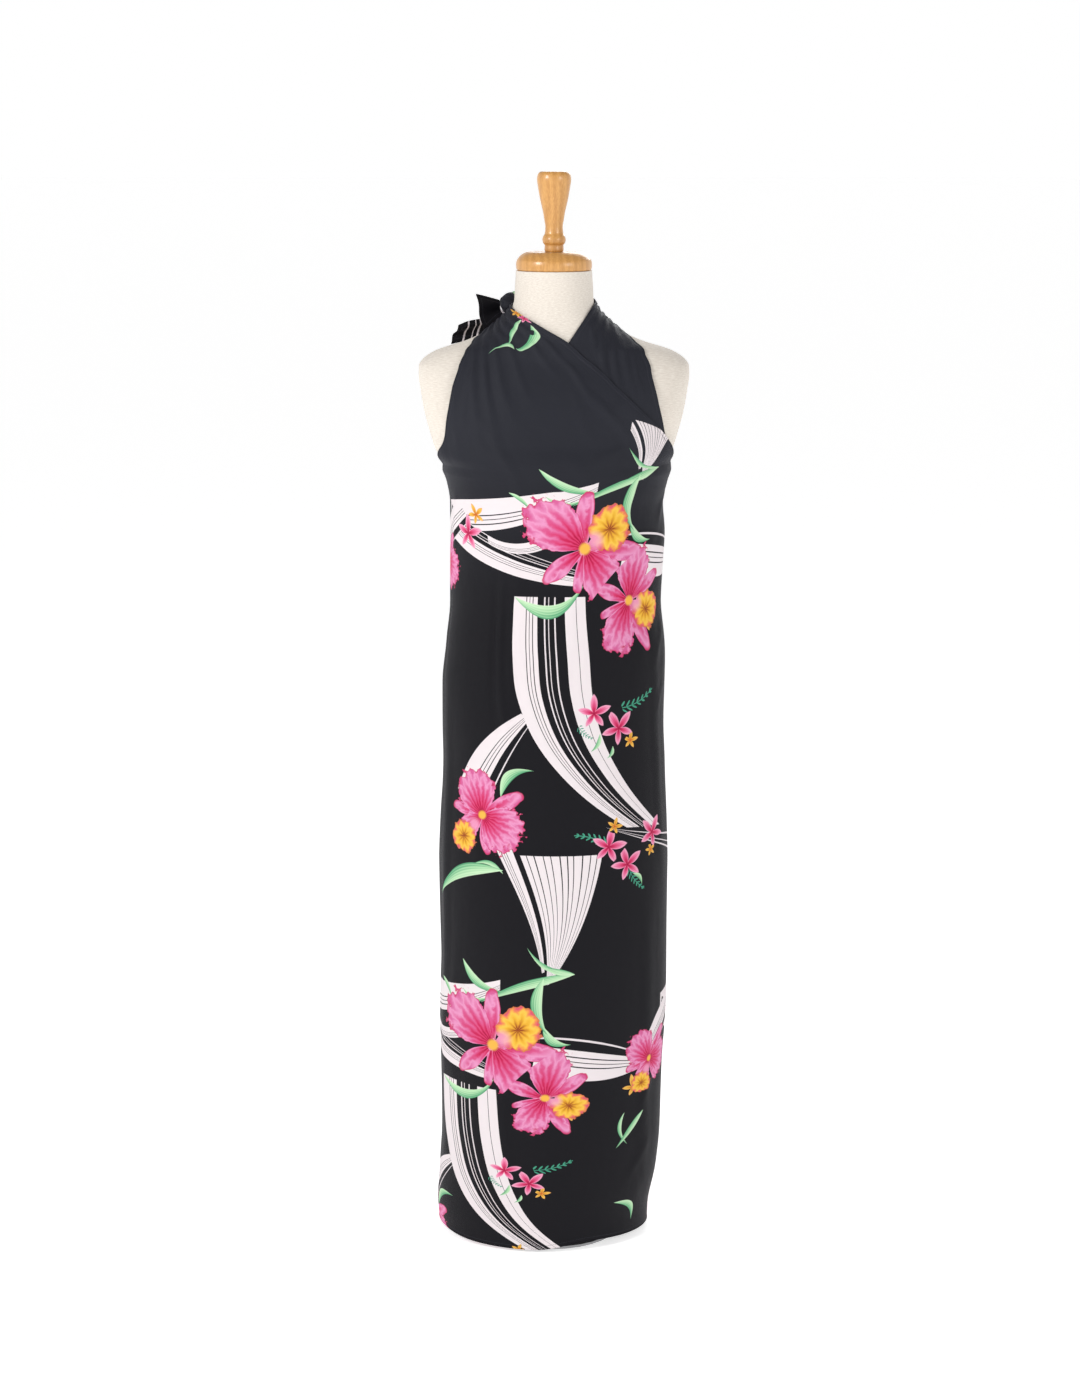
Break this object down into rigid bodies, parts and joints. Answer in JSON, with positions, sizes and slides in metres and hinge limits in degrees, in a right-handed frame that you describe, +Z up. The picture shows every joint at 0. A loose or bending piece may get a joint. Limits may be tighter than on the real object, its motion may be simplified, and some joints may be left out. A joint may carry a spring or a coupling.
{
  "type": "sarong dress on dress form",
  "caption": "Ankle-length wound sarong dress with a crossed halter tied behind the neck, on a limbless dress form with a turned wooden neck cap and handle.",
  "frame": {"origin": "centre of the stand's flat underside, on the floor", "axes": "+Z up, the front of the dress towards -Y, the viewer's right +X"},
  "size_m": [0.39, 0.2612, 1.5915],
  "materials": {
    "printed_cloth": "matte",
    "form_linen": "matte",
    "turned_wood": "satin",
    "stand_metal": "satin"
  },
  "bodies": {
    "root": {"under_front": "printed_cloth", "back_wrap": "printed_cloth", "outer_front": "printed_cloth", "neck_band_right": "printed_cloth", "neck_band_left": "printed_cloth", "knot": "printed_cloth", "tail_upper": "printed_cloth", "tail_lower": "printed_cloth", "form_torso": "form_linen", "form_neck_cap": "turned_wood", "form_handle": "turned_wood", "form_pole": "stand_metal", "form_base": "stand_metal"}
  },
  "joints": []
}
